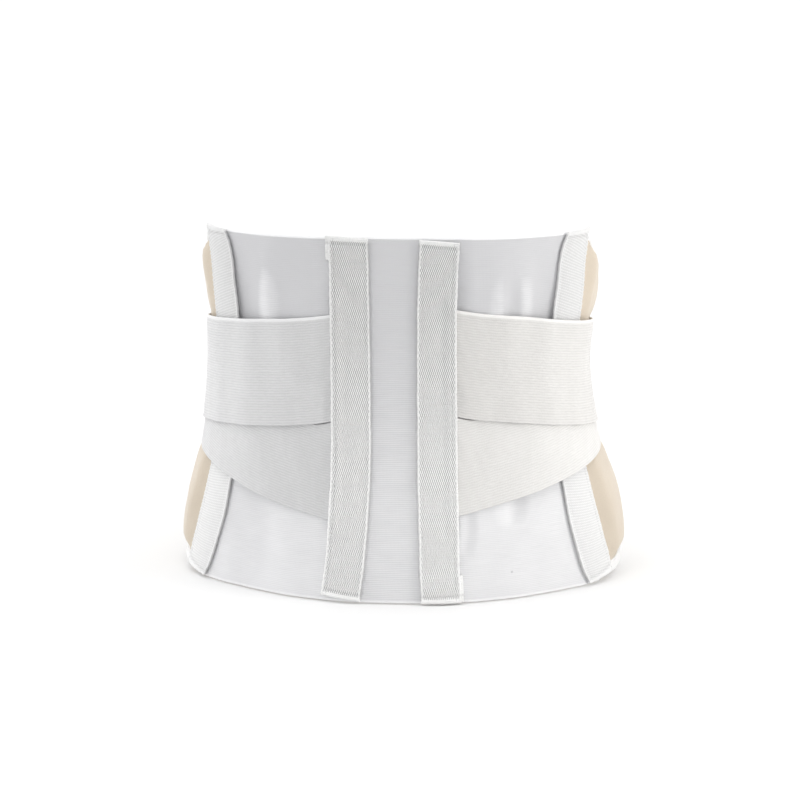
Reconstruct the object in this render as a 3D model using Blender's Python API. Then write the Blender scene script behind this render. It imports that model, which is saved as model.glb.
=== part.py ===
"""Work back support belt, closed as it is worn.

Every piece is cloth laid round one torso shape. A place on the belt is given by
two lengths: along, measured round the girth from the centre of the back, and
height, measured from the middle of the belt. A third, out, is how far the cloth
stands off the torso. TORSO gives the torso's shape and the other tables say
where each piece runs. Their columns are shares of the named sizes.

Axes: +Z up, the back faces -Y, the wearer's left is -X. Sizes are in millimetres.
"""
import bmesh
import bpy
import numpy as np

MM = 0.001
HEIGHT = 254.0               # a 10 inch belt
WIDTH = 266.0                # of the torso at the waist
DEPTH = 190.0                # of the torso, back to front
TAPE = 27.8                  # casing tape, laid flat
STRAP = 74.5                 # 3 inch elastic strap, pulled tight
SLANT = 2.1                  # the left straps start this much lower, the right ones higher
PANEL = 1.6                  # ribbed elastic, and the bound edges of the side panels
STRAP_THICK = 1.4
CASING_THICK = 2.2
BULGE = 0.8                  # of that, the stay's bulge along the middle of a casing
PADDING = 1.4                # side panel's filling where it is pressed flat
PUFF = 4.7                   # and what it swells by where nothing holds it
CLEAR = 0.3                  # left between layers that are sewn or pressed together
TUCK = 3.5                   # strap end under its casing
FOLD_LIFT = 1.5              # the highest of the back panel's soft folds
FOLD = 17.0                  # casing end that is folded under
FOLD_SHOWS = 2.0             # and how far the fold sticks out at the side
BINDING = 6.0                # binding's width on each face
BINDING_THICK = 1.0
BINDING_CLEAR = 0.6
TAB = 48.0                   # front tab's length
TAB_LAP = 10.0               # of that, over the ends of the straps
TAB_THICK = 1.6
PAST_FRONT = 30.0            # each side panel runs this far past the centre of the front
HOOK_WIDTH = 30.0
HOOK_THICK = 1.2

HALF_HEIGHT = HEIGHT / 2

# The torso's outline by bearing from the centre of the back: shares of half the
# width and depth. The first two columns are the height and the lean to the right.
BEARINGS = np.array([0, 16, 32, 48, 64, 90, 120, 145, 163, 180], float)
TORSO = np.array([
    # height  lean      0     16     32     48     64     90    120    145    163    180
    [-1.00,  0.019, 1.116, 1.121, 1.108, 1.103, 1.143, 1.195, 1.227, 1.187, 1.131, 1.100],
    [-0.60,  0.016, 1.053, 1.066, 1.079, 1.087, 1.115, 1.138, 1.186, 1.153, 1.100, 1.074],
    [-0.20, -0.002, 0.958, 0.975, 1.004, 1.028, 1.030, 1.039, 1.108, 1.117, 1.088, 1.063],
    [0.20,  -0.013, 0.884, 0.902, 0.950, 0.975, 0.987, 0.986, 1.056, 1.102, 1.092, 1.063],
    [0.60,  -0.001, 0.842, 0.864, 0.937, 0.957, 1.009, 1.004, 1.062, 1.110, 1.102, 1.074],
    [1.00,  -0.011, 0.821, 0.857, 0.938, 0.980, 1.020, 1.031, 1.080, 1.124, 1.117, 1.095]])

# The worn belt has slipped a little to the left.
#                   height  drift
DRIFT = np.array([[-1.0, -0.014], [-0.6, -0.009], [-0.2, -0.002], [0.2, 0.000], [0.6, -0.006], [1.0, -0.002]])

# Centre lines of the casings.
#                        height  along
INNER_LINE = np.array([[-0.980, 0.0944], [-0.764, 0.0879], [-0.528, 0.0835], [-0.268, 0.0802], [0.000, 0.0797],
                       [0.331, 0.0799], [0.661, 0.0813], [1.005, 0.0847]])
OUTER_LINE = np.array([[-0.980, 0.449], [-0.772, 0.414], [-0.575, 0.388], [-0.370, 0.370], [-0.118, 0.356],
                       [0.157, 0.347], [0.504, 0.346], [0.693, 0.353], [0.866, 0.360], [1.005, 0.375]])

# Straps, from the inner casings to the front.
#                         along  middle
UPPER_STRAP = np.array([[0.105, 0.299], [0.160, 0.275], [0.239, 0.250], [0.332, 0.216], [0.479, 0.158],
                        [0.625, 0.095], [0.777, 0.033]])
#                         along  lower edge
LOWER_STRAP = np.array([[0.105, -0.542], [0.133, -0.528], [0.176, -0.497], [0.253, -0.440], [0.346, -0.363],
                        [0.439, -0.302], [0.612, -0.268], [0.777, -0.254]])

# Edges of the side panels.
#                        along  bottom   top
SIDE_EDGES = np.array([[0.388, -0.992, 1.000], [0.426, -0.992, 0.981], [0.452, -0.992, 0.921],
                       [0.489, -0.976, 0.843], [0.545, -0.929, 0.769], [0.625, -0.861, 0.706],
                       [0.745, -0.787, 0.650], [0.878, -0.743, 0.622], [1.074, -0.724, 0.614]])

# Soft folds of the back panel, beside the casings and over the straps.
#                 along   height  wide   tall   lift
FOLDS = np.array([[-0.246, 0.740, 0.036, 0.260, 1.00],
                  [-0.170, 0.800, 0.030, 0.240, -0.40],
                  [0.198, 0.660, 0.024, 0.140, 0.80],
                  [0.250, 0.690, 0.022, 0.150, 0.87],
                  [0.160, 0.780, 0.026, 0.240, -0.47],
                  [0.156, -0.660, 0.022, 0.160, 0.60],
                  [-0.210, -0.760, 0.040, 0.200, 0.53]])


def through(table, column, at):
    """A smooth curve through one column of a table, over its first column."""
    xs, ys = table[:, 0], table[:, column]
    at = np.clip(np.asarray(at, float), xs[0], xs[-1])
    slope = np.gradient(ys, xs)
    i = np.clip(np.searchsorted(xs, at, side="right") - 1, 0, len(xs) - 2)
    h = xs[i + 1] - xs[i]
    t = (at - xs[i]) / h
    return ((2 * t**3 - 3 * t**2 + 1) * ys[i] + (t**3 - 2 * t**2 + t) * h * slope[i]
            + (3 * t**2 - 2 * t**3) * ys[i + 1] + (t**3 - t**2) * h * slope[i + 1])


def ease(low, high, at):
    """0 up to low, 1 from high on, smooth between."""
    t = np.clip((np.asarray(at, float) - low) / (high - low), 0, 1)
    return t * t * (3 - 2 * t)


STEPS = np.linspace(-215, 215, 1291)          # bearings, past the front on both sides
LEVELS = np.linspace(-1.04, 1.04, 133) * HALF_HEIGHT


def section(height):
    """One level cut of the torso: the length along it, and its points."""
    share = height / HALF_HEIGHT
    row = np.array([through(TORSO, 2 + k, share) for k in range(len(BEARINGS))])
    whole = np.column_stack([np.concatenate([-BEARINGS[:0:-1], BEARINGS, 360 - BEARINGS[-2::-1]]),
                             np.concatenate([row[:0:-1], row, row[-2::-1]])])
    reach = through(whole, 1, np.abs(STEPS))
    angle = np.radians(STEPS)
    x = WIDTH / 2 * (reach * np.sin(angle) + through(TORSO, 1, share))
    y = -DEPTH / 2 * reach * np.cos(angle)
    run = np.concatenate([[0], np.cumsum(np.hypot(np.diff(x), np.diff(y)))])
    return np.array([run - run[len(STEPS) // 2], x, y])


SECTIONS = np.array([section(level) for level in LEVELS])
HALF_GIRTHS = np.array([np.interp(180, STEPS, level[0]) for level in SECTIONS])


def half_girth(height):
    """From the centre of the back round to the centre of the front."""
    return np.interp(height, LEVELS, HALF_GIRTHS)


ROUND = half_girth(0.0)      # the lengths along in the tables are shares of this


def lay(along, height, out):
    """The point of the cloth at a length along, a height and a stand-off, in metres."""
    place = (height - LEVELS[0]) / (LEVELS[1] - LEVELS[0])
    low = int(np.clip(place, 0, len(LEVELS) - 2))
    share = place - low
    length, x, y = SECTIONS[low] * (1 - share) + SECTIONS[low + 1] * share
    drift = through(DRIFT, 1, height / HALF_HEIGHT) * ROUND
    along = along + drift * (1 - ease(0.45 * ROUND, 0.8 * ROUND, abs(along)))
    i = int(np.clip(np.searchsorted(length, along), 4, len(length) - 5))
    px, py = np.interp(along, length, x), np.interp(along, length, y)
    tx, ty = x[i + 3] - x[i - 4], y[i + 3] - y[i - 4]
    size = np.hypot(tx, ty)
    return ((px + out * ty / size) * MM, (py - out * tx / size) * MM, height * MM)


def casing_line(table, height):
    return through(table, 1, height / HALF_HEIGHT) * ROUND


def side_edge(column, along):
    return through(SIDE_EDGES, column, along / ROUND) * HALF_HEIGHT


def upper_edges(along):
    middle = through(UPPER_STRAP, 1, along / ROUND) * HALF_HEIGHT
    return middle - STRAP / 2, middle + STRAP / 2


def lower_edges(along):
    """At its casing the lower strap is cut to meet the upper one, and from there runs under it."""
    low = through(LOWER_STRAP, 1, along / ROUND) * HALF_HEIGHT
    meets = upper_edges(along)[0] - 2 * CLEAR
    from_casing = along - casing_line(INNER_LINE, 0.0) - TAPE / 2
    return low, meets + (low + STRAP - meets) * ease(0.1 * STRAP, 0.67 * STRAP, from_casing)


def slant(sign, along):
    """How much higher a strap lies than its table says, near its casing."""
    return sign * SLANT * (1 - ease(0.20 * ROUND, 0.42 * ROUND, along))


def panel_fold(along, height):
    """The back panel's soft folds: how far they lift its cloth."""
    lift = 0.0
    for middle, level, wide, tall, share in FOLDS:
        lift += FOLD_LIFT * share * np.exp(-((along / ROUND - middle) / wide) ** 2 - ((height / HALF_HEIGHT - level) / tall) ** 2)
    return lift


def side_lift(side, along, height):
    """The left front is closed over the right one, so it stands off further there."""
    to_front = half_girth(height) - along
    return OVERLAP_LIFT * (1 - ease(1.27 * PAST_FRONT, 2.67 * PAST_FRONT, to_front)) if side == "left" else 0.0


def padding(along, height):
    """How thick a side panel is: thin at its edges, pressed flat under the straps, puffed between."""
    bottom, top = side_edge(1, along), side_edge(2, along)
    strap_low, strap_top = lower_edges(along)[0], upper_edges(along)[1]
    from_casing = along - casing_line(OUTER_LINE, height) - TAPE / 2
    above = np.clip((height - strap_top) / (top - strap_top), 0, 1)
    below = np.clip((height - bottom) / (strap_low - bottom), 0, 1)
    puff = PUFF * (np.sqrt(4 * above * (1 - above)) + np.sqrt(4 * below * (1 - below)))
    puff = puff * (1 - ease(0.57 * ROUND, 0.88 * ROUND, along))
    flat, full = 1.27 * BINDING, 2.83 * BINDING
    swell = min(ease(flat, full, height - bottom), ease(flat, full, top - height), ease(0.075 * TAPE, 0.49 * TAPE, from_casing))
    return PANEL + (PADDING + puff) * swell


def panel_along(station, height):
    """A station on a side panel: the first few lie at the outer casing, the rest run to the front."""
    seam = casing_line(OUTER_LINE, height)
    near = TAPE * np.array([0.015, 0.535, 0.69, 0.95, 1.33, 1.78])
    if station < len(near):
        return seam + near[station]
    share = (station - len(near) + 1) / (PANEL_STATIONS - len(near))
    start = seam + near[-1]
    return start + share * (half_girth(height) + PAST_FRONT - start)


def panel_heights(along):
    """Heights of a side panel's rows: close at its edges and at the edges of the straps."""
    bottom, top = side_edge(1, along), side_edge(2, along)
    low, high = lower_edges(along)[0], upper_edges(along)[1]
    rows = [bottom, bottom + BINDING + 0.5, bottom + BINDING + 8, (bottom + low) / 2, low - 8, low + 1,
            *np.linspace(low, high, 6)[1:-1], high - 1, high + 8, (high + top) / 2,
            top - BINDING - 8, top - BINDING - 0.5, top]
    return sorted(rows)


def under_strap(along):
    """How far out the underside of the lower strap runs: over the panel, casing and padding."""
    casing_top = CASING_THICK + 4 * CLEAR
    inner_edge = casing_line(INNER_LINE, 0.0) + TAPE / 2
    outer = casing_line(OUTER_LINE, 0.15 * HALF_HEIGHT)
    flat = PANEL + CLEAR + casing_top * ease(inner_edge + 0.36 * TAPE, outer - 0.61 * TAPE, along)
    return flat - (casing_top - PADDING - 2 * CLEAR) * ease(outer + 1.15 * TAPE, outer + 2.45 * TAPE, along)


PANEL_STATIONS = 17
OVERLAP_LIFT = PANEL + PADDING + HOOK_THICK + 1.7       # room for the hook strip between the fronts
TAB_END = HALF_GIRTHS.min() - PAST_FRONT - 6
STRAP_END = TAB_END - TAB + TAB_LAP
STRAP_START = casing_line(INNER_LINE, 0.0) + TAPE / 2 - TUCK

belt = bpy.data.collections.new("belt")
bpy.context.scene.collection.children.link(belt)
for spare in list(bpy.data.objects):
    bpy.data.objects.remove(spare)


def finish(name, mesh, bm):
    bmesh.ops.recalc_face_normals(bm, faces=bm.faces)
    bmesh.ops.triangulate(bm, faces=bm.faces)
    bm.to_mesh(mesh)
    bm.free()
    belt.objects.link(bpy.data.objects.new(name, mesh))


def sheet(name, places):
    """A closed sheet from rows of places, each (along, height, out of its inner face, thickness)."""
    mesh = bpy.data.meshes.new(name)
    bm = bmesh.new()
    top = [[bm.verts.new(lay(s, h, out + thick)) for s, h, out, thick in row] for row in places]
    low = [[bm.verts.new(lay(s, h, out)) for s, h, out, thick in row] for row in places]
    rows, cols = len(places), len(places[0])
    for r in range(rows - 1):
        for c in range(cols - 1):
            bm.faces.new((top[r][c], top[r][c + 1], top[r + 1][c + 1], top[r + 1][c]))
            bm.faces.new((low[r][c], low[r + 1][c], low[r + 1][c + 1], low[r][c + 1]))
    rim = ([(0, c) for c in range(cols - 1)] + [(r, cols - 1) for r in range(rows - 1)]
           + [(rows - 1, c) for c in range(cols - 1, 0, -1)] + [(r, 0) for r in range(rows - 1, 0, -1)])
    for (r, c), (r2, c2) in zip(rim, rim[1:] + rim[:1]):
        bm.faces.new((top[r][c], low[r][c], low[r2][c2], top[r2][c2]))
    finish(name, mesh, bm)


def channel(name, rings):
    """A closed solid through equal C-shaped cross-sections, its ends closed by strips of quads."""
    mesh = bpy.data.meshes.new(name)
    bm = bmesh.new()
    loops = [[bm.verts.new(p) for p in ring] for ring in rings]
    count = len(rings[0])
    for a, b in zip(loops, loops[1:]):
        for k in range(count):
            bm.faces.new((a[k], a[(k + 1) % count], b[(k + 1) % count], b[k]))
    for loop in (loops[0], loops[-1]):
        for k in range(count // 2 - 1):
            bm.faces.new((loop[k], loop[k + 1], loop[count - 2 - k], loop[count - 1 - k]))
    finish(name, mesh, bm)


# Back panel: ribbed elastic between the centre lines of the outer casings
rows = []
for h in np.linspace(-HALF_HEIGHT, HALF_HEIGHT, 20):
    edge = casing_line(OUTER_LINE, h) - 0.4
    rows.append([(s, h, panel_fold(s, h), PANEL) for s in np.linspace(-edge, edge, 37)])
sheet("back_panel", rows)


def casing(name, sign, table, fold_at, lifted):
    """A tape with a stay's bulge. fold_at is the end that is folded under: 1 top, -1 bottom, 0 none."""
    low, high = table[0, 0] * HALF_HEIGHT, table[-1, 0] * HALF_HEIGHT
    fold = {1: high - FOLD, -1: low + FOLD, 0: low + FOLD}[fold_at]
    strap_low, strap_top = lower_edges(STRAP_START)[0], upper_edges(STRAP_START)[1]
    levels = [low, low + 1.2, *np.linspace(low + FOLD, high - FOLD, 15), high - 1.2, high]
    if lifted:
        levels += [strap_low - 3.5, strap_top + 3.5, fold - fold_at * 1.2]
    rows = []
    for h in sorted(levels):
        along = casing_line(table, h)
        slope = (casing_line(table, h + 1) - casing_line(table, h - 1)) / 2
        slope = slope * (0.36 + 0.44 * ease(low, low + 15, h)) * (1 - ease(high - 15, high, h))
        shows = FOLD_SHOWS if fold_at and (h - fold) * fold_at > -0.1 else 0.0
        beside_strap = ease(strap_low - 20, strap_low - 3.7, h) * (1 - ease(strap_top + 3.7, strap_top + 20, h))
        row = []
        for across in (-1.0, -0.62, 0.0, 0.62, 1.0):
            reach = across * TAPE / 2 + (shows if across == 1.0 else 0.0)
            rise = (STRAP_THICK + CLEAR) * beside_strap * ease(0.35, 0.62, across) if lifted else 0.2
            row.append((sign * (along + reach), h - reach * slope, PANEL + CLEAR + rise,
                        CASING_THICK - BULGE * across * across))
        rows.append(row)
    sheet(name, rows)


for side, sign in (("left", -1), ("right", 1)):
    casing(f"inner_casing_{side}", sign, INNER_LINE, -sign, True)
    casing(f"outer_casing_{side}", sign, OUTER_LINE, 0, False)

    # Padded side panel, from the outer casing round to the front
    grid = []
    for station in range(PANEL_STATIONS):
        places = []
        for k in range(16):
            along = 0.5 * ROUND
            for _ in range(6):
                h = panel_heights(along)[k]
                along = panel_along(station, h)
            places.append((along, h))
        grid.append(places)
    sheet(f"side_panel_{side}", [[(sign * s, h, side_lift(side, s, h), padding(s, h)) for s, h in places]
                                 for places in grid])

    # Bindings folded over the side panel's top and bottom edges: (over the edge, out)
    reach = BINDING_CLEAR + BINDING_THICK
    wrap = [(-BINDING, PANEL + reach), (0, PANEL + reach), (reach, PANEL + reach / 2), (reach, -reach / 2),
            (0, -reach), (-BINDING, -reach), (-BINDING, -BINDING_CLEAR), (BINDING_CLEAR, -BINDING_CLEAR),
            (BINDING_CLEAR, PANEL * 0.4), (BINDING_CLEAR, PANEL * 0.6), (BINDING_CLEAR, PANEL + BINDING_CLEAR),
            (-BINDING, PANEL + BINDING_CLEAR)]
    for label, row, turn in (("top", -1, 1), ("bottom", 0, -1)):
        rings = []
        for station in range(2, PANEL_STATIONS):
            edge = grid[station][row][1]
            ring = []
            for over, out in wrap:
                h = edge + turn * over
                along = panel_along(station, h)
                ring.append(lay(sign * along, h, side_lift(side, along, h) + out))
            rings.append(ring)
        channel(f"{label}_binding_{side}", rings)

    # Straps: the lower one runs up and forward, the upper one down over it
    for label, edges in (("lower", lower_edges), ("upper", upper_edges)):
        rows = []
        for along in [STRAP_START, STRAP_START + 5, STRAP_START + 10.5, *np.linspace(STRAP_START + 18, STRAP_END, 21)]:
            low, high = edges(along)
            row = []
            for h in np.linspace(low, high, 7):
                out = under_strap(along) + side_lift(side, along, h)
                if label == "upper":
                    crossed = lower_edges(along)[1] + 2
                    over = 1 - ease(crossed + 13, crossed + 30, h)
                    out += (STRAP_THICK + CLEAR) * over * ease(STRAP_START + 4.5, STRAP_START + 10.5, along)
                row.append((sign * along, h + slant(sign, along), out, STRAP_THICK))
            rows.append(row)
        sheet(f"{label}_strap_{side}", rows)

    # Front tab over both straps' ends
    low, high = lower_edges(STRAP_END)[0], upper_edges(STRAP_END)[1]
    over_straps = under_strap(STRAP_END) + 2 * (STRAP_THICK + CLEAR)
    on_panel = PANEL + PADDING + 1.2 + CLEAR
    rows = []
    for share in (0, 0.1, 0.22, 0.32, 0.45, 0.62, 0.8, 0.92, 1.0):
        along = TAB_END - TAB * (1 - share)
        inset = 2.0 + 5.0 * ease(0.75, 1.02, share) ** 2
        row = []
        for h in np.linspace(low + inset, high - inset, 6):
            out = over_straps + (on_panel - over_straps) * ease(STRAP_END + 1, STRAP_END + 14, along)
            row.append((sign * along, h, out + side_lift(side, along, h), TAB_THICK))
        rows.append(row)
    sheet(f"strap_tab_{side}", rows)

# Hook strip between the overlapping fronts
rows = []
for offset in np.linspace(-HOOK_WIDTH / 2, HOOK_WIDTH / 2, 5):
    low, high = side_edge(1, ROUND) + 2 * BINDING + 2, side_edge(2, ROUND) - 2 * BINDING - 2
    rows.append([(half_girth(h) + offset, h, PANEL + PADDING + 0.7, HOOK_THICK) for h in np.linspace(low, high, 10)])
sheet("hook_strip", rows)
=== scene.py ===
# %% [markdown]
# A back support belt, closed as it is worn.
#
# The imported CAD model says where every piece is, and it is plain. This lesson dresses
# it. Each piece is made the way it is sewn: cut flat as cloth, given its ribs, folds and
# stitches while it is flat, and then laid round the loop that the CAD model uses.

import bmesh
import bpy
import numpy as np
from mathutils import Matrix, Vector


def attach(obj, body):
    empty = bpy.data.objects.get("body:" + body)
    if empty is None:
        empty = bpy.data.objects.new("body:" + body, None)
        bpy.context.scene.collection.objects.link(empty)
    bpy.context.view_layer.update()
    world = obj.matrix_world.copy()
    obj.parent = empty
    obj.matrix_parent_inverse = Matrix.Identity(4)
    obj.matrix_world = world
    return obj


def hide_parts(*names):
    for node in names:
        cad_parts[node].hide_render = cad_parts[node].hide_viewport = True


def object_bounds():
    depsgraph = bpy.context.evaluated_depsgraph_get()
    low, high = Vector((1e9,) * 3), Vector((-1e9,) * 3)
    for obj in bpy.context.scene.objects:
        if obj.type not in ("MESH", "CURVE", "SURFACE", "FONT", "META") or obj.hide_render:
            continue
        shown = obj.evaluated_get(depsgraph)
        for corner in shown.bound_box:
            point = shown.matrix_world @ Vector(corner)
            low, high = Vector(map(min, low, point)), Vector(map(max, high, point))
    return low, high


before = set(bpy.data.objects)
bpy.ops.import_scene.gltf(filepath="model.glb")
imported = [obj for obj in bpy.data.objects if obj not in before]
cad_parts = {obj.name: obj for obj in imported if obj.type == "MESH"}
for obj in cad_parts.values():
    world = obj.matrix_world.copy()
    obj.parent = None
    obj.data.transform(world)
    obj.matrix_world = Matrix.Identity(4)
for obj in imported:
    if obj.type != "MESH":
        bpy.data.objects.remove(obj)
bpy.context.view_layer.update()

# %% [markdown]
# The sizes are the ones the belt was drawn with, in millimetres. One number, MM, turns
# them into Blender's metres at the last moment, so that every table below can be read
# with a ruler in mind. The tables hold shares of the named sizes.

# %% Named sizes
MM = 0.001
HEIGHT, WIDTH, DEPTH = 254.0, 266.0, 190.0
TAPE, STRAP, SLANT = 27.8, 74.5, 2.1
PANEL, STRAP_THICK, CASING_THICK, BULGE = 1.6, 1.4, 2.2, 0.8
PADDING, PUFF, CLEAR, TUCK = 1.4, 4.7, 0.3, 3.5
FOLD, FOLD_SHOWS, FOLD_LIFT = 17.0, 2.0, 1.5
BINDING, BINDING_THICK, BINDING_CLEAR = 6.0, 1.0, 0.6
TAB, TAB_LAP, TAB_THICK, PAST_FRONT = 48.0, 10.0, 1.6, 30.0
HOOK_WIDTH, HOOK_THICK = 30.0, 1.2
HALF_HEIGHT = HEIGHT / 2
HOOK_GAPS = 1.7                  # left open above and below the hook strip, in all
OVERLAP_LIFT = PANEL + PADDING + HOOK_THICK + HOOK_GAPS
EDGE_GAP = 0.4                   # from the middle of the outer casing to each cloth's edge
STITCH, NEEDLE_LINE = 3.3, 3.5   # a casing's stitches: their pitch, and how far in they run
END_ROW, END_DENT = 4.4, 4.6     # from a casing's end to its stitches, and to their dent
TAPE_BODY = CASING_THICK - BULGE
FADE = -115, 115                 # the heights between which painted shade comes on, darker towards the top

# %% Tables of the loop and of where each piece runs
BEARINGS = np.array([0, 16, 32, 48, 64, 90, 120, 145, 163, 180], float)
LOOP = np.array([  # height, lean to the right, then the reach at each bearing
    [-1.00,  0.019, 1.116, 1.121, 1.108, 1.103, 1.143, 1.195, 1.227, 1.187, 1.131, 1.100],
    [-0.60,  0.016, 1.053, 1.066, 1.079, 1.087, 1.115, 1.138, 1.186, 1.153, 1.100, 1.074],
    [-0.20, -0.002, 0.958, 0.975, 1.004, 1.028, 1.030, 1.039, 1.108, 1.117, 1.088, 1.063],
    [0.20,  -0.013, 0.884, 0.902, 0.950, 0.975, 0.987, 0.986, 1.056, 1.102, 1.092, 1.063],
    [0.60,  -0.001, 0.842, 0.864, 0.937, 0.957, 1.009, 1.004, 1.062, 1.110, 1.102, 1.074],
    [1.00,  -0.011, 0.821, 0.857, 0.938, 0.980, 1.020, 1.031, 1.080, 1.124, 1.117, 1.095]])
DRIFT = np.array([  # height, how far the cloth has slipped round
    [-1.0, -0.014], [-0.6, -0.009], [-0.2, -0.002], [0.2, 0.000], [0.6, -0.006], [1.0, -0.002]])
INNER_LINE = np.array([  # height, along
    [-0.980, 0.0944], [-0.764, 0.0879], [-0.528, 0.0835], [-0.268, 0.0802],
    [0.000, 0.0797], [0.331, 0.0799], [0.661, 0.0813], [1.005, 0.0847]])
OUTER_LINE = np.array([  # height, along
    [-0.980, 0.449], [-0.772, 0.414], [-0.575, 0.388], [-0.370, 0.370], [-0.118, 0.356],
    [0.157, 0.347], [0.504, 0.346], [0.693, 0.353], [0.866, 0.360], [1.005, 0.375]])
UPPER_STRAP = np.array([  # along, the height of its middle
    [0.105, 0.299], [0.160, 0.275], [0.239, 0.250], [0.332, 0.216], [0.479, 0.158],
    [0.625, 0.095], [0.777, 0.033]])
LOWER_STRAP = np.array([  # along, the height of its lower edge
    [0.105, -0.542], [0.133, -0.528], [0.176, -0.497], [0.253, -0.440], [0.346, -0.363],
    [0.439, -0.302], [0.612, -0.268], [0.777, -0.254]])
SIDE_EDGES = np.array([  # along, bottom, top
    [0.388, -0.992, 1.000], [0.426, -0.992, 0.981], [0.452, -0.992, 0.921],
    [0.489, -0.976, 0.843], [0.545, -0.929, 0.769], [0.625, -0.861, 0.706],
    [0.745, -0.787, 0.650], [0.878, -0.743, 0.622], [1.074, -0.724, 0.614]])
FOLDS = np.array([  # along, height, wide, tall, lift
    [-0.246, 0.740, 0.036, 0.260, 1.00], [-0.170, 0.800, 0.030, 0.240, -0.40],
    [0.198, 0.660, 0.024, 0.140, 0.80], [0.250, 0.690, 0.022, 0.150, 0.87],
    [0.160, 0.780, 0.026, 0.240, -0.47], [0.156, -0.660, 0.022, 0.160, 0.60],
    [-0.210, -0.760, 0.040, 0.200, 0.53]])


# %% Curves through the tables
def through(table, column, at):
    """A smooth curve through one column of a table, over its first column."""
    xs, ys = table[:, 0], table[:, column]
    at = np.clip(np.asarray(at, float), xs[0], xs[-1])
    slope = np.gradient(ys, xs)
    i = np.clip(np.searchsorted(xs, at, side="right") - 1, 0, len(xs) - 2)
    h = xs[i + 1] - xs[i]
    t = (at - xs[i]) / h
    return ((2 * t**3 - 3 * t**2 + 1) * ys[i] + (t**3 - 2 * t**2 + t) * h * slope[i]
            + (3 * t**2 - 2 * t**3) * ys[i + 1] + (t**3 - t**2) * h * slope[i + 1])


def ease(low, high, at):
    """0 up to low, 1 from high on, smooth between."""
    t = np.clip((np.asarray(at, float) - low) / (high - low), 0, 1)
    return t * t * (3 - 2 * t)


def hump(middle, wide, at):
    """1 at the middle, fading away over the width."""
    return np.exp(-((at - middle) / wide) ** 2)


# %% [markdown]
# The loop is a stack of level sections. Each is walked round once, and its points are
# stored at even steps of length, so laying a whole piece of cloth is one look-up for all
# its points together. A Shrinkwrap modifier onto a plain form could do this too, but it
# knows nothing of lengths: the cloth would stretch where the form curves.

# %% Lay cloth on the loop
STEPS = np.linspace(-215, 215, 1291)
LEVELS = np.linspace(-1.04, 1.04, 133) * HALF_HEIGHT
ALONG = np.arange(-440.0, 440.1, 0.5)


def section(height):
    """One level cut of the loop: the length along it, and its points."""
    share = height / HALF_HEIGHT
    row = np.array([through(LOOP, 2 + k, share) for k in range(len(BEARINGS))])
    whole = np.column_stack([np.concatenate([-BEARINGS[:0:-1], BEARINGS, 360 - BEARINGS[-2::-1]]),
                             np.concatenate([row[:0:-1], row, row[-2::-1]])])
    reach = through(whole, 1, np.abs(STEPS))
    angle = np.radians(STEPS)
    x = WIDTH / 2 * (reach * np.sin(angle) + through(LOOP, 1, share))
    y = -DEPTH / 2 * reach * np.cos(angle)
    run = np.concatenate([[0], np.cumsum(np.hypot(np.diff(x), np.diff(y)))])
    return run - run[len(STEPS) // 2], x, y


SECTIONS = [section(level) for level in LEVELS]
HALF_GIRTHS = np.array([np.interp(180, STEPS, run) for run, x, y in SECTIONS])
LOOP_POINTS = np.array([[np.interp(ALONG, run, x), np.interp(ALONG, run, y)] for run, x, y in SECTIONS])


def half_girth(height):
    return np.interp(height, LEVELS, HALF_GIRTHS)


ROUND = float(half_girth(0.0))
print("half the girth at the waist:", round(ROUND, 1), "mm")


def lay(along, height, out):
    """Points of the cloth, in metres, at lengths along, heights and stand-offs in mm."""
    drift = through(DRIFT, 1, height / HALF_HEIGHT) * ROUND
    along = along + drift * (1 - ease(0.45 * ROUND, 0.8 * ROUND, np.abs(along)))
    row = np.clip((height - LEVELS[0]) / (LEVELS[1] - LEVELS[0]), 0, len(LEVELS) - 1.001)
    col = np.clip((along - ALONG[0]) / (ALONG[1] - ALONG[0]), 6, len(ALONG) - 7.001)
    i, j = row.astype(int), col.astype(int)
    f, g = row - i, col - j

    def read(axis, step):
        near = LOOP_POINTS[i, axis, j + step] * (1 - g) + LOOP_POINTS[i, axis, j + step + 1] * g
        far = LOOP_POINTS[i + 1, axis, j + step] * (1 - g) + LOOP_POINTS[i + 1, axis, j + step + 1] * g
        return near * (1 - f) + far * f

    tx, ty = read(0, 5) - read(0, -5), read(1, 5) - read(1, -5)
    size = np.hypot(tx, ty)
    return np.column_stack([read(0, 0) + out * ty / size, read(1, 0) - out * tx / size, height]) * MM


# %% Where the pieces run
def casing_line(table, height):
    return through(table, 1, height / HALF_HEIGHT) * ROUND


def side_edge(column, along):
    return through(SIDE_EDGES, column, along / ROUND) * HALF_HEIGHT


def upper_edges(along):
    middle = through(UPPER_STRAP, 1, along / ROUND) * HALF_HEIGHT
    return middle - STRAP / 2, middle + STRAP / 2


def lower_edges(along):
    low = through(LOWER_STRAP, 1, along / ROUND) * HALF_HEIGHT
    meets = upper_edges(along)[0] - 2 * CLEAR
    from_casing = along - casing_line(INNER_LINE, 0.0) - TAPE / 2
    return low, meets + (low + STRAP - meets) * ease(0.1 * STRAP, 0.67 * STRAP, from_casing)


def slant(sign, along):
    """How much higher a strap lies than its table says, near its casing."""
    return sign * SLANT * (1 - ease(0.20 * ROUND, 0.42 * ROUND, along))


def lifted_by(table, along, height):
    """The sum of a table's humps: along, height and both widths are shares, the last is the lift."""
    lift = np.zeros(len(along))
    for middle, level, wide, tall, most in table:
        lift += most * hump(middle, wide, along / ROUND) * hump(level, tall, height / HALF_HEIGHT)
    return lift


def side_lift(sign, along, height):
    """The left front is closed over the right one, so it stands off further there."""
    to_front = half_girth(height) - along
    if sign > 0:
        return 0 * to_front
    return OVERLAP_LIFT * (1 - ease(1.27 * PAST_FRONT, 2.67 * PAST_FRONT, to_front))


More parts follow.
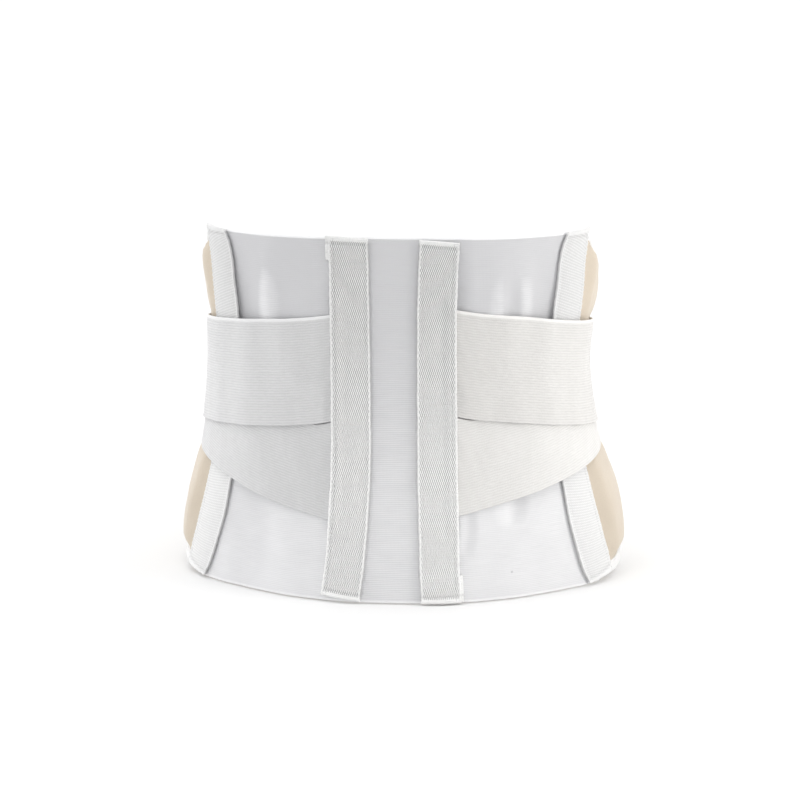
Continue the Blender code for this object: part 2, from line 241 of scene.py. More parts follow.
def padding(along, height):
    """A side panel's thickness: thin at its edges, flat under the straps, puffed between."""
    bottom, top = side_edge(1, along), side_edge(2, along)
    strap_low, strap_top = lower_edges(along)[0], upper_edges(along)[1]
    from_casing = along - casing_line(OUTER_LINE, height) - TAPE / 2
    above = np.clip((height - strap_top) / (top - strap_top), 0, 1)
    below = np.clip((height - bottom) / (strap_low - bottom), 0, 1)
    puff = PUFF * (np.sqrt(4 * above * (1 - above)) + np.sqrt(4 * below * (1 - below)))
    puff = puff * (1 - ease(0.57 * ROUND, 0.88 * ROUND, along))
    flat, full = 1.27 * BINDING, 2.83 * BINDING
    swell = np.minimum(np.minimum(ease(flat, full, height - bottom), ease(flat, full, top - height)),
                       ease(0.075 * TAPE, 0.49 * TAPE, from_casing))
    return PANEL + (PADDING + puff) * swell


def under_strap(along):
    """How far out the underside of the lower strap runs: over the panel, casing and padding."""
    casing_top = CASING_THICK + 4 * CLEAR
    inner_edge = casing_line(INNER_LINE, 0.0) + TAPE / 2
    outer = casing_line(OUTER_LINE, 0.15 * HALF_HEIGHT)
    flat = PANEL + CLEAR + casing_top * ease(inner_edge + 0.36 * TAPE, outer - 0.61 * TAPE, along)
    return flat - (casing_top - PADDING - 2 * CLEAR) * ease(outer + 1.15 * TAPE, outer + 2.45 * TAPE, along)


TAB_END = HALF_GIRTHS.min() - PAST_FRONT - 6
STRAP_END = TAB_END - TAB + TAB_LAP
STRAP_START = float(casing_line(INNER_LINE, 0.0)) + TAPE / 2 - TUCK
print("straps run from", round(STRAP_START, 1), "to", round(float(STRAP_END), 1), "mm round from the spine")

# %% [markdown]
# Every piece starts as a slab. A grid is cut at chosen stations, close together where
# there is detail, and solidified, so its z is 0 on the inner face and 1 on
# the face we see. Cutting at stations is better than an even grid with a Subdivision
# modifier on top, because the rows can sit exactly on the ribs and stitch lines.


# %% Cut a flat slab
def spots(bm):
    """The positions of all points of a bmesh, as columns x, y, z."""
    return np.array([v.co[:] for v in bm.verts]).T


def slab(xs, ys):
    """A closed flat sheet over the given stations: z is 0 on its inner face, 1 on its outer."""
    bm = bmesh.new()
    bmesh.ops.create_grid(bm, x_segments=len(xs) - 1, y_segments=len(ys) - 1, size=0.5)
    bmesh.ops.solidify(bm, geom=bm.faces[:], thickness=1.0)
    x, y, z = spots(bm)
    x = np.interp(x + 0.5, np.linspace(0, 1, len(xs)), xs)
    y = np.interp(y + 0.5, np.linspace(0, 1, len(ys)), ys)
    z = (z - z.min()) / (z.max() - z.min())
    for v, spot in zip(bm.verts, np.column_stack([x, y, np.round(z)])):
        v.co = spot
    return bm


def stations(low, high, step, close=(), band=0.0, fine=0.0):
    """Even stations from low to high, with finer ones within a band of each close place."""
    marks = list(np.linspace(low, high, max(2, round((high - low) / step) + 1)))
    for place in close:
        marks += [m for m in np.arange(place - band, place + band + fine / 2, fine) if low < m < high]
    marks = np.array(sorted(marks))
    keep = np.concatenate([[True], np.diff(marks) > 0.45 * (fine or step)])
    keep[-1] = True
    return marks[keep]


def rounded(distance, radius):
    """How much of a cloth's thickness is left at a distance from its cut edge."""
    d = np.clip(distance / radius, 0, 1)
    return 0.25 + 0.75 * np.sqrt(1 - (1 - d) ** 2)


# %% [markdown]
# Stitches are little grains of thread. A real one dives into the cloth at both ends,
# which a squashed sphere shows well, and a sphere with few faces is enough because
# there are hundreds of them.


# %% Stitches
def join(bm, other):
    """Move all of another bmesh into this one."""
    spare = bpy.data.meshes.new("spare")
    other.to_mesh(spare)
    other.free()
    bm.from_mesh(spare)
    bpy.data.meshes.remove(spare)


def add_stitches(bm, runs):
    """Thread grains in flat space, each (x, y, length, width, turn). Returns where they start."""
    first = len(bm.verts)
    grains = bmesh.new()
    for x, y, length, width, turn in runs:
        place = (Matrix.Translation((x, y, 0)) @ Matrix.Rotation(turn, 4, "Z")
                 @ Matrix.Diagonal((length / 2, width / 2, 0.28, 1)))
        bmesh.ops.create_uvsphere(grains, u_segments=6, v_segments=4, radius=1, matrix=place)
    join(bm, grains)
    return first


def row_of(x0, y0, x1, y1, pitch, width, fill):
    """A straight row of stitches between two flat points; fill is the thread's share of the pitch."""
    run = float(np.hypot(x1 - x0, y1 - y0))
    turn = float(np.arctan2(y1 - y0, x1 - x0))
    count = max(1, round(run / pitch))
    return [(x0 + (x1 - x0) * (k + 0.5) / count, y0 + (y1 - y0) * (k + 0.5) / count,
             pitch * fill, width, turn) for k in range(count)]


# %% [markdown]
# Sewing puts a piece on the belt. Its flat plan is kept as a UV map in metres, so a
# weave drawn on that map has its real pitch and follows the cloth wherever it bends.
# Then all points go to their places, and the faces are turned outwards.

# %% Sew a piece on
def sew(name, bm, cloth, along, height, out, finish):
    """Lay a flat piece on the loop. cloth holds its flat plan in mm, for the UV map."""
    for v, place in zip(bm.verts, lay(along, height, out)):
        v.co = place
    bmesh.ops.recalc_face_normals(bm, faces=bm.faces[:])
    for face in bm.faces:
        face.smooth = True
    mesh = bpy.data.meshes.new(name)
    bm.to_mesh(mesh)
    bm.free()
    corners = np.empty(len(mesh.loops), np.int32)
    mesh.loops.foreach_get("vertex_index", corners)
    plan = np.column_stack(cloth)[corners] * MM
    mesh.uv_layers.new(name="cloth").data.foreach_set("uv", plan.astype(np.float32).ravel())
    mesh.materials.append(finish)
    piece = bpy.data.objects.new(name, mesh)
    bpy.context.scene.collection.objects.link(piece)
    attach(piece, "root")
    print(f"{name}: {sum(len(p.vertices) - 2 for p in mesh.polygons)} triangles")
    return piece


# %% [markdown]
# Cloth is mostly its material. Writing its pattern as sums and products of waves is
# easier to read than a web of nodes, so this small class lets Python do the wiring: an
# expression on two sockets adds the Math node that works it out.


# %% Shader sums as Python
class Wire:
    """A number socket that can be added, multiplied and so on."""

    def __init__(self, finish, socket):
        self.finish, self.socket = finish, socket

    def math(self, operation, *others):
        node = self.finish.tree.nodes.new("ShaderNodeMath")
        node.operation = operation
        for slot, value in zip(node.inputs, (self, *others)):
            self.finish.feed(slot, value)
        return Wire(self.finish, node.outputs[0])

    def flipped(self, operation, other):
        node = self.finish.tree.nodes.new("ShaderNodeMath")
        node.operation = operation
        self.finish.feed(node.inputs[0], other)
        self.finish.feed(node.inputs[1], self)
        return Wire(self.finish, node.outputs[0])

    def __add__(self, other): return self.math("ADD", other)
    def __radd__(self, other): return self.flipped("ADD", other)
    def __sub__(self, other): return self.math("SUBTRACT", other)
    def __rsub__(self, other): return self.flipped("SUBTRACT", other)
    def __mul__(self, other): return self.math("MULTIPLY", other)
    def __rmul__(self, other): return self.flipped("MULTIPLY", other)
    def __pow__(self, other): return self.math("POWER", other)
    def __abs__(self): return self.math("ABSOLUTE")

    def wave(self, pitch):
        """A cosine of that pitch along this length: 1 on its crests and -1 between."""
        return (self * (2 * np.pi / pitch)).math("COSINE")

    def between(self, low, high):
        """0 below low and 1 above high, smooth between; low may be the larger one."""
        node = self.finish.tree.nodes.new("ShaderNodeMapRange")
        node.interpolation_type = "SMOOTHSTEP"
        self.finish.feed(node.inputs["Value"], self)
        node.inputs["From Min"].default_value, node.inputs["From Max"].default_value = low, high
        return Wire(self.finish, node.outputs["Result"])


class Finish:
    """A cloth's material: a Principled shader, and the cloth's own u and v in millimetres."""

    def __init__(self, name, roughness=0.9, sheen=0.15, specular=0.25):
        self.material = bpy.data.materials.new(name)
        self.material.use_nodes = True
        self.tree = self.material.node_tree
        self.shader = self.tree.nodes["Principled BSDF"]
        self.shader.inputs["Roughness"].default_value = roughness
        self.shader.inputs["Sheen Weight"].default_value = sheen
        self.shader.inputs["Sheen Roughness"].default_value = 0.5
        self.shader.inputs["Specular IOR Level"].default_value = specular
        self.map = self.node("ShaderNodeUVMap", uv_map="cloth").outputs[0]
        apart = self.node("ShaderNodeSeparateXYZ", Vector=self.map)
        self.u, self.v = (Wire(self, apart.outputs[k]) * (1 / MM) for k in ("X", "Y"))

    def feed(self, slot, value):
        if isinstance(value, Wire):
            self.tree.links.new(value.socket, slot)
        elif isinstance(value, bpy.types.NodeSocket):
            self.tree.links.new(value, slot)
        else:
            slot.default_value = value

    def node(self, kind, **settings):
        """A new node: settings with a capital feed its sockets, the rest are set on the node."""
        node = self.tree.nodes.new(kind)
        for key, value in settings.items():
            if key[0].isupper():
                self.feed(node.inputs[key], value)
            else:
                setattr(node, key, value)
        return node

    def noise(self, u_pitch, v_pitch, seed):
        """Soft noise on the cloth, from 0 to 1, with its own pitch in mm along u and across v."""
        u, v = self.u * (1 / u_pitch), self.v * (1 / v_pitch)
        place = self.node("ShaderNodeCombineXYZ", X=u, Y=v, Z=seed)
        noise = self.node("ShaderNodeTexNoise", Vector=place.outputs[0], Scale=1.0, Detail=2.0)
        return Wire(self, noise.outputs[0])

    def grain(self, pitch, detail=2.0):
        """Noise through the air round the piece, in mm, for what doesn't follow the weave."""
        place = self.node("ShaderNodeTexCoord").outputs["Object"]
        noise = self.node("ShaderNodeTexNoise", Vector=place, Scale=1000 / pitch, Detail=detail)
        return Wire(self, noise.outputs[0])

    def colour(self, light, dark, share):
        """Base colour from light to dark, by a share from 0 to 1."""
        mix = self.node("ShaderNodeMix", data_type="RGBA")
        self.feed(mix.inputs[0], share)
        mix.inputs[6].default_value, mix.inputs[7].default_value = (*light, 1), (*dark, 1)
        self.feed(self.shader.inputs["Base Color"], mix.outputs[2])

    def relief(self, height, depth):
        """Bump from a height of 0 to 1, that deep in mm."""
        bump = self.node("ShaderNodeBump", Height=height, Distance=depth * MM, Strength=1.0)
        self.feed(self.shader.inputs["Normal"], bump.outputs[0])


# %% [markdown]
# The belt's elastics and tapes are all white, and yet look different. The back panel is a
# thin elastic with fine ribs across the back. The straps are a webbing of stout rubber
# cords. The casings by the spine are a dotted tape, whose staggered bright grains are the
# float threads of its weave, and the outer ones are a fine twill. Each pattern is
# measured in mm on the cloth's own map.

# %% Ribbed elastic of the back panel
PUCKERS = np.array([  # along, height, wide, tall, lift in mm
    [-0.243, 0.620, 0.020, 0.110, 1.7], [-0.200, 0.680, 0.030, 0.200, -1.0],
    [-0.300, 0.640, 0.028, 0.200, -1.9], [0.198, 0.620, 0.012, 0.090, 0.8],
    [0.222, 0.640, 0.013, 0.100, -1.1], [0.250, 0.620, 0.014, 0.090, 0.9],
    [0.122, 0.700, 0.016, 0.240, -1.5], [0.300, 0.620, 0.024, 0.160, -0.9],
    [0.330, 0.680, 0.014, 0.160, 0.6], [0.128, -0.600, 0.009, 0.080, 0.7],
    [0.146, -0.600, 0.009, 0.090, -0.7], [0.212, -0.500, 0.014, 0.060, 0.8],
    [0.240, -0.490, 0.014, 0.060, -0.8], [-0.300, -0.650, 0.034, 0.220, -0.6]])
RIB_PITCH, YARN_PITCH = 1.3, 0.95
SPECK = 85.6, -108.0        # a small grey fleck in the weave, low on the right


def ribbed_elastic():
    f = Finish("ribbed_elastic", roughness=0.85)
    wobble = (f.noise(9, 5, seed=3) - 0.5) * 0.25
    plain = abs(f.u).between(45, 62)      # outside the inner casings the ribs are pulled flatter
    ribs = (f.v + wobble).wave(RIB_PITCH) * 0.5 * (1 - plain * 0.55) + 0.5
    yarns = f.u.wave(YARN_PITCH) * 0.5 + 0.5
    streaks, soft = f.noise(14, 0.9, seed=1), f.noise(26, 26, seed=7)
    edge = abs(f.v).between(HALF_HEIGHT - 2.2, HALF_HEIGHT - 1.2)
    shade = (1 - ribs) * 0.30 + (1 - yarns) * 0.08 + streaks * 0.30 + soft * 0.20
    for middle, level, wide, tall, lift in PUCKERS:      # painted shade in each pucker's valley, painted highlight on its crest
        beside = (f.u - middle * ROUND) * (0.5 / (wide * ROUND))
        above = (f.v - level * HALF_HEIGHT) * (0.5 / (tall * HALF_HEIGHT))
        shade = shade - (beside * beside + above * above).between(1.0, 0.0) * (0.30 * lift)
    beside, above = f.u - SPECK[0], f.v - SPECK[1]
    spot = (beside * beside + above * above).between(1.2, 0.0)
    # Painted shade: darker towards the top, and in the middle out to the inner casings.
    painted_shade_top_middle = f.v.between(*FADE) * 0.58 + abs(f.u).between(56, 42) * 0.14
    f.colour((0.94, 0.94, 0.95), (0.61, 0.61, 0.625), (shade + painted_shade_top_middle) * (1 - edge) + spot * 1.2)
    f.relief(ribs * 0.7 + yarns * 0.12 + streaks * 0.35, 0.14)
    return f.material


# %% Rubber cord webbing of the straps
STRAP_RIB = STRAP / 40


def strap_elastic(name, light, dark):
    f = Finish(name, roughness=0.8)
    groove = f.v.wave(STRAP_RIB) * 0.5 + 0.5
    dashes = f.noise(3.4, STRAP_RIB * 0.42, seed=2)
    yarns = (f.u + f.v.wave(2 * STRAP_RIB) * 0.28).wave(1.15) * 0.5 + 0.5
    # Uneven tone, made strong enough to stand in as painted shade of the strap's soft waves.
    tone_and_wave_shade = f.noise(15, 60, seed=9)
    # Painted highlight: the strap's top edge keeps the light colour, as if lit from above.
    edge = f.v.between(STRAP - 2.6, STRAP - 1.6)
    # Painted shade: darker near the casing, towards the middle of the back.
    near_casing = f.u.between(125, 50)
    shade = (groove ** 3.0) * 0.34 + dashes * 0.60 + (1 - yarns) * 0.12 + tone_and_wave_shade * 0.38 + near_casing * 0.16
    f.colour(light, dark, shade * (1 - edge))
    f.relief(yarns * 0.5 + dashes * 0.6, 0.07)
    return f.material


# %% Dotted tape of the casings
DOT_PITCH, DOT_ROW = 1.35, 2.05


def hump_wire(place, middle, wide):
    """1 at the middle of a line, fading within its width on both sides."""
    return abs(place - middle).between(wide, 0.0)


def tape_marks(f, wide):
    """What every tape has: white rims, the needle's groove, a painted shadow line along the
    edge by the spine, and painted shade in the pressed row near each end."""
    low, high = INNER_LINE[0, 0] * HALF_HEIGHT, INNER_LINE[-1, 0] * HALF_HEIGHT
    from_end = (high - low) / 2 - abs(f.v - (low + high) / 2)
    selvage = abs(f.u).between(TAPE / 2 - 1.9, TAPE / 2 - 1.3)
    edge = (selvage + from_end.between(3.4, 2.4)).math("MINIMUM", 1.0)
    groove = hump_wire(f.u, TAPE / 2 - NEEDLE_LINE, wide) * (f.v.wave(STITCH) * 0.35 + 0.65)
    # Painted shadow: a dark line along the tape's edge by the spine.
    spine_edge_shadow = f.u.between(0.9 - TAPE / 2, 0.2 - TAPE / 2) * from_end.between(1.0, 3.5)
    # Painted shade in the pressed dent near each end.
    end_dent_shade = hump_wire(from_end, END_DENT, 1.6) * f.noise(2.2, 2.2, seed=13)
    return edge, groove, spine_edge_shadow, end_dent_shade


def dotted_tape():
    f = Finish("dotted_tape", roughness=0.9)
    lean = (f.noise(30, 40, seed=4) - 0.5) * 1.6
    u, v = f.u + lean, f.v + (f.noise(22, 22, seed=6) - 0.5) * 0.8
    dots = (u.wave(DOT_PITCH) * v.wave(2 * DOT_ROW)).between(-0.42, 0.38)
    spread, fray = f.noise(3, 3, seed=8), f.noise(0.9, 1.6, seed=11)
    edge, groove, spine_edge_shadow, end_dent_shade = tape_marks(f, 0.45)
    worn = f.noise(9, 14, seed=12).between(0.5, 0.85)
    shade = ((1 - dots) * 0.80 + spread * 0.08 + worn * 0.06) * (1 - edge) + fray * 0.3 * edge
    # Painted shade: a shadow line by the spine, shade in the pressed dent near each end, and darker towards
    # the top.
    shade = shade + groove * 0.3 + spine_edge_shadow * 0.6 + end_dent_shade * 0.4 + f.v.between(*FADE) * 0.28 - 0.14
    f.colour((1.0, 1.0, 0.995), (0.42, 0.42, 0.42), shade)
    f.relief((dots * 0.8 + spread * 0.3) * (1 - edge) + (f.v.wave(1.1) * 0.2 + fray * 0.6) * edge, 0.55)
    return f.material


# %% Fine twill of the outer casings
def twill_tape():
    f = Finish("twill_tape", roughness=0.9)
    twill = ((f.u * 0.3 + f.v).wave(1.9) * 0.5 + 0.5) * ((f.u + f.v * 0.7).wave(1.4) * 0.3 + 0.7)
    spread, fray = f.noise(3, 3, seed=5), f.noise(0.9, 1.6, seed=11)
    edge, groove, spine_edge_shadow, end_dent_shade = tape_marks(f, 0.4)
    shade = ((1 - twill) * 0.42 + spread * 0.25) * (1 - edge) + fray * 0.3 * edge
    # Painted shade: a shadow line by the spine, shade in the pressed dent near each end, and darker towards
    # the top.
    f.colour((0.90, 0.90, 0.90), (0.57, 0.57, 0.57), shade + groove * 0.3 + spine_edge_shadow * 1.2 + end_dent_shade * 0.3
             + f.v.between(*FADE) * 0.30)
    f.relief((twill * 0.6 + spread * 0.3) * (1 - edge) + (f.v.wave(1.1) * 0.2 + fray * 0.6) * edge, 0.14)
    return f.material


# %% [markdown]
# The side panels are a brushed, padded cloth the colour of weak tea with milk. Its nap
# scatters light, which is what the shader's sheen is for. The edges are bound with a
# plain white tape, and the front tabs are a close plain weave.

# %% Padded cloth, binding, tab and hook tape
def padded_cloth():
    f = Finish("padded_cloth", roughness=0.95, sheen=0.35, specular=0.15)
    nap, patches = f.grain(0.9, 3), f.grain(28)
    f.colour((0.70, 0.62, 0.515), (0.57, 0.49, 0.395), nap * 0.5 + patches * 0.4)
    f.relief(nap * 0.7 + f.grain(3.5) * 0.6, 0.3)
    return f.material


def plain_weave(name, light, dark, pitch=0.8, depth=0.1):
    f = Finish(name, roughness=0.9)
    weave = (f.u.wave(pitch) * f.v.wave(pitch)) * 0.5 + 0.5
    spread = f.noise(4, 4, seed=5)
    f.colour(light, dark, (1 - weave) * 0.5 + spread * 0.4)
    f.relief(weave * 0.7 + spread * 0.3, depth)
    return f.material


def hook_tape():
    f = Finish("hook_tape", roughness=0.6, sheen=0.0, specular=0.4)
    hooks = (f.u.wave(1.6) * 0.5 + 0.5) * (f.v.wave(1.3) * 0.5 + 0.5)
    f.colour((0.86, 0.86, 0.84), (0.55, 0.55, 0.53), 1 - hooks)
    f.relief(hooks, 0.5)
    return f.material


BACK_ELASTIC = ribbed_elastic()
# One strap elastic at three strengths of painted light: painted shade on the left straps, lighter and
# warmer on the upper right, lightest on the lower right.
LEFT_SHADED_ELASTIC = strap_elastic("strap_elastic_painted_shade_left", (0.82, 0.82, 0.825), (0.58, 0.58, 0.585))
RIGHT_LIT_ELASTIC = strap_elastic("strap_elastic_painted_light_right", (0.86, 0.85, 0.835), (0.62, 0.61, 0.595))
LOWER_RIGHT_LIT_ELASTIC = strap_elastic("strap_elastic_painted_light_lower_right", (0.90, 0.892, 0.877), (0.69, 0.68, 0.665))
DOTTED_TAPE, TWILL_TAPE = dotted_tape(), twill_tape()
PADDED_CLOTH = padded_cloth()
BINDING_TAPE = plain_weave("binding_tape", (0.93, 0.93, 0.93), (0.78, 0.78, 0.78))
TAB_CLOTH = plain_weave("tab_cloth", (0.90, 0.90, 0.90), (0.70, 0.70, 0.70), pitch=1.1, depth=0.14)
HOOK_TAPE = hook_tape()
print("materials:", len(bpy.data.materials))

# %% [markdown]
# The back panel is one piece of elastic from one outer casing to the other. Where the
# straps and stays hold it, it can't lie flat, so it has soft folds and small puckers.
# They are humps in its stand-off, and a grid of two millimetres is close enough for them.

# %% Back panel
SELVAGE = 1.6
xs = np.linspace(-1, 1, 161)
ys = stations(-HALF_HEIGHT, HALF_HEIGHT, 2.1, close=(-HALF_HEIGHT, HALF_HEIGHT), band=2.4, fine=0.4)
bm = slab(xs, ys)
x, height, z = spots(bm)
panel_edge = casing_line(OUTER_LINE, height) - EDGE_GAP
along = x * panel_edge
from_edge = HALF_HEIGHT - np.abs(height)
thick = PANEL * rounded(from_edge, 0.8) - 0.12 * hump(SELVAGE + 0.5, 0.5, from_edge)
ripple = 0.10 * np.sin(along / 5.1 + height / 37) * ease(20, 50, np.abs(along))
folds = FOLD_LIFT * lifted_by(FOLDS, along, height) + lifted_by(PUCKERS, along, height)
out = PANEL / 2 + (z - 0.5) * thick + folds + ripple
back = sew("back_panel_cloth", bm, (along, height), along, height, out, BACK_ELASTIC)
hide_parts("back_panel")

# %% [markdown]
# A casing is a tape that holds a stay. Its middle swells over the stay, both edges are
# sewn down, and at the end where the stay goes in, the tape is folded under. The folded
# end is a second, smaller slab under the first, and its corner sticks out at the side.
# The edge next to the spine isn't held tight, so it stands off and throws a thin shadow, and
# the tape's material paints a dark shadow line along it as well.


# %% Casings
FOLD_THICK, LOOSE = 0.85, 0.7    # the folded end's thickness, and the loose edge's stand-off
ENDS = {  # how far the ends are sewn off square, in mm: top, its tilt, bottom, its tilt
    "inner_casing_left": (-0.8, 0.7, 0.0, 1.3), "inner_casing_right": (-3.2, -1.0, -1.9, -0.3),
    "outer_casing_left": (0.0, 0.4, 0.0, 0.0), "outer_casing_right": (0.0, 0.3, 0.0, 0.0)}


def casing(name, node, sign, table, fold_at, lifted, finish):
    """A tape along its table's line; fold_at is 1 for a top end folded under, -1 for a bottom one."""
    low, high = table[0, 0] * HALF_HEIGHT, table[-1, 0] * HALF_HEIGHT
    strap_low, strap_top = lower_edges(STRAP_START)[0], upper_edges(STRAP_START)[1]
    half = TAPE / 2

    def profile(across, height):
        """The tape's relief in mm: edge beads, needle grooves, and the pressed end."""
        outer, spine = half - across, half + across
        lump = 0.75 + 0.25 * np.cos(height * 2 * np.pi / STITCH + 1.0)
        bead = 0.34 * hump(0.9, 0.7, outer) * lump + 0.26 * hump(1.1, 1.0, spine) * lump
        pull = 0.35 * hump(NEEDLE_LINE, 0.6, outer) * (0.6 + 0.4 * np.cos(height * 2 * np.pi / STITCH))
        pull = pull + 0.20 * hump(3.4, 0.7, spine)
        from_end = np.minimum(np.abs(height - low), np.abs(height - high))
        return bead - pull + 0.25 * hump(1.2, 1.2, from_end) - 0.30 * hump(END_DENT, 0.9, from_end)

    def folded(height):
        """How far the folded end lifts the tape above it."""
        if fold_at > 0:
            return FOLD_THICK * ease(high - FOLD - 3, high - FOLD + 2, height)
        return FOLD_THICK * (1 - ease(low + FOLD - 2, low + FOLD + 3, height)) if fold_at else 0 * height

    def lie(across, height, lift):
        """Where a point of the flat tape goes: along, height and stand-off."""
        slope = (casing_line(table, height + 1) - casing_line(table, height - 1)) / 2
        slope = slope * (0.36 + 0.44 * ease(low, low + 15, height)) * (1 - ease(high - 15, high, height))
        over = ease(strap_low - 20, strap_low - 3.7, height)      # 1 where it covers the straps' ends
        over = over * (1 - ease(strap_top + 3.7, strap_top + 20, height))
        rise = (STRAP_THICK + CLEAR) * over * ease(0.35, 0.62, across / half) if lifted else 0.2
        wavy = 0.09 * np.sin(height * 2 * np.pi / 6.6) + 0.10 * np.sin(height / 4.7 + 1.3)
        top, top_tilt, bottom, bottom_tilt = ENDS[node]
        cut = (top + top_tilt * across / half) * ease(high - 30, high, height)
        cut = cut + (bottom + bottom_tilt * across / half) * (1 - ease(low, low + 30, height))
        along = casing_line(table, height) + across + wavy * ease(0.6, 1, np.abs(across) / half)
        loose = LOOSE * ease(half - 4.5, half, -across) * (0.8 + 0.2 * np.sin(height / 9.0))
        return sign * along, height + cut - across * slope, PANEL + CLEAR + rise + loose + lift

    cross = stations(-half, half, 1.6, close=(-half + 1.6, half - 2.4), band=2.4, fine=0.5)
    rows = stations(low, high, 0.8, close=(low + 2.4, high - 2.4), band=2.4, fine=0.6)
    bm = slab(cross, rows)
    across, height, z = spots(bm)
    sides = np.minimum(half - np.abs(across), np.minimum(height - low, high - height))
    swell = BULGE * (1 - (across / half) ** 2)
    lift = folded(height) + TAPE_BODY / 2 + (z - 0.5) * TAPE_BODY * rounded(sides, 0.7)
    lift = lift + np.where(z > 0.5, swell + profile(across, height), swell * 0.6)

    if fold_at:      # the end that is folded under
        start, stop = (high - FOLD, high) if fold_at > 0 else (low, low + FOLD)
        flap = slab(stations(-half + 1.5, half + FOLD_SHOWS, 1.8), stations(start, stop + 0.01, 1.5))
        fx, fy, fz = spots(flap)
        join(bm, flap)
        cut = np.minimum(half + FOLD_SHOWS - fx, np.minimum(fy - start, stop - fy))
        across, height = np.concatenate([across, fx]), np.concatenate([height, fy])
        lift = np.concatenate([lift, 0.35 + (fz - 0.5) * 0.8 * rounded(cut, 0.4)
                               + 0.45 * ease(half - 1, half + 1, fx) * fz])

    needle = half - NEEDLE_LINE
    runs = row_of(needle, low + 4, needle, high - 4, STITCH, width=0.5, fill=0.62)
    runs += row_of(half - 0.9, low + 1, half - 0.9, high - 1, STITCH, width=0.9, fill=0.7)
    runs += row_of(-half + 2.6, low + 4, -half + 2.6, high - 4, STITCH, width=0.5, fill=0.62)
    for level in (low + END_ROW, high - END_ROW):
        runs += row_of(-half + 3, level, half - 4, level, 2.6, width=0.5, fill=0.66)
    first = add_stitches(bm, runs)
    sx, sy, sz = spots(bm)
    sx, sy, sz = sx[first:], sy[first:], sz[first:]
    top = TAPE_BODY + folded(sy) + BULGE * (1 - (sx / half) ** 2) + profile(sx, sy)
    across, height = np.concatenate([across, sx]), np.concatenate([height, sy])
    lift = np.concatenate([lift, top + sz])
    along, level, out = lie(across, height, lift)
    piece = sew(name, bm, (across, height), along, level, out, finish)
    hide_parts(node)
    return piece


for side, sign in (("left", -1), ("right", 1)):
    casing(f"inner_casing_tape_{side}", f"inner_casing_{side}", sign, INNER_LINE, -sign, True, DOTTED_TAPE)
    casing(f"outer_casing_tape_{side}", f"outer_casing_{side}", sign, OUTER_LINE, 0, False, TWILL_TAPE)

# %% [markdown]
# The straps are real ribs, not a bump: forty cords cross each strap, and a rib in the
# mesh keeps its shadow when the camera comes close. Six rows a rib are enough for its
# rounded back and narrow groove. Near the casing, where the elastic is sewn in relaxed,
# the cords are crimped, and further on the pull irons them straight.


# %% Straps
def strap(name, node, sign, label, finish):
    edges = lower_edges if label == "lower" else upper_edges
    xs = np.concatenate([np.arange(STRAP_START, STRAP_START + 44, 1.6),
                         stations(STRAP_START + 46, STRAP_END, 4.2)])
    bm = slab(xs, np.linspace(0, 1, 241))
    along, share, z = spots(bm)
    low, high = edges(along)
    height = low + (high - low) * share
    across = height - low
    cord = 1 - np.abs(np.cos(np.pi * across / STRAP_RIB)) ** 4
    near_casing = 1 - ease(12, 60, along - STRAP_START)
    crimp = 0.30 * near_casing * np.sin(along * 2 * np.pi / 7.3 + 0.9 * np.sin(across / 3.1))
    crimp = crimp * np.sin(across / 2.3)
    ripple = 0.09 * near_casing * np.sin(along * 2 * np.pi / 8.9 + across / 4.0)
    from_edge = np.minimum(height - low, high - height)
    selvage = hump(0.9, 0.8, from_edge)
    cord = np.where(from_edge < 1.9, 1.0, cord)
    thick = (STRAP_THICK - 0.05) * rounded(from_edge, 0.7)
    out = under_strap(along) + side_lift(sign, along, height)
    if label == "upper":
        crossed = lower_edges(along)[1] + 2
        over = 1 - ease(crossed + 13, crossed + 30, height)
        out = out + (STRAP_THICK + CLEAR) * over * ease(STRAP_START + 4.5, STRAP_START + 10.5, along)
        waves = 0.45 * (1 + np.sin(along * 2 * np.pi / 29 + 2.6 * sign)) * ease(8, 25, along - STRAP_START)
        out = out + waves * (1 - ease(0.36 * ROUND, 0.42 * ROUND, along))
    out = out + STRAP_THICK / 2 + (z - 0.5) * thick
    out = out + np.where(z > 0.5, 0.13 * (cord - 1) + ripple + 0.10 * selvage, ripple)
    height = height + slant(sign, along) + crimp * ease(1.5, 4, from_edge)
    piece = sew(name, bm, (along, across), sign * along, height, out, finish)
    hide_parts(node)
    return piece


for side, sign, lower, upper in (("left", -1, LEFT_SHADED_ELASTIC, LEFT_SHADED_ELASTIC),
                                 ("right", 1, LOWER_RIGHT_LIT_ELASTIC, RIGHT_LIT_ELASTIC)):
    strap(f"lower_strap_webbing_{side}", f"lower_strap_{side}", sign, "lower", lower)
    strap(f"upper_strap_webbing_{side}", f"upper_strap_{side}", sign, "upper", upper)

# %% [markdown]
# A side panel is two layers of brushed cloth with a thin filling. The straps press it
# flat, and above and below them it swells. Its outline is cut to the waist, so its rows
# run between two curved edges. Cloth simulation could blow it up, but here the CAD
# model already says how far each place swells, and small creases by the casing do the rest.

# %% Side panels
CREASES = np.array([  # from the casing in mm, height, wide in mm, tall, lift in mm
    [4.0, 0.62, 1.6, 0.10, -1.54], [7.5, 0.52, 1.5, 0.08, -1.1], [6.0, 0.74, 2.0, 0.07, -1.1],
    [5.0, -0.62, 2.2, 0.10, -1.54], [10.0, -0.72, 3.0, 0.09, -1.1], [15.0, 0.60, 3.5, 0.12, -1.1]])
TUCKED = 2.2      # how far the corners by the casing are drawn in, in mm
STRAP_GAP = 0.4   # left between the panel and the strap that holds it, in mm


def to_the_front(share, height):
    """The length along at a share of the way from the outer casing to the front edge."""
    start = casing_line(OUTER_LINE, height) + EDGE_GAP
    return start + share * (half_girth(height) + PAST_FRONT - start)


def side_places(share, rise):
    """Where a point of the side panel lies; rise is its share of the way from bottom to top."""
    along = np.full(len(share), 0.5 * ROUND)
    for _ in range(8):
        height = side_edge(1, along) + (side_edge(2, along) - side_edge(1, along)) * rise
        height = height + (1 - 2 * rise) * TUCKED * (1 - ease(0.045, 0.12, share))
        along = to_the_front(share, height)
    return along, height


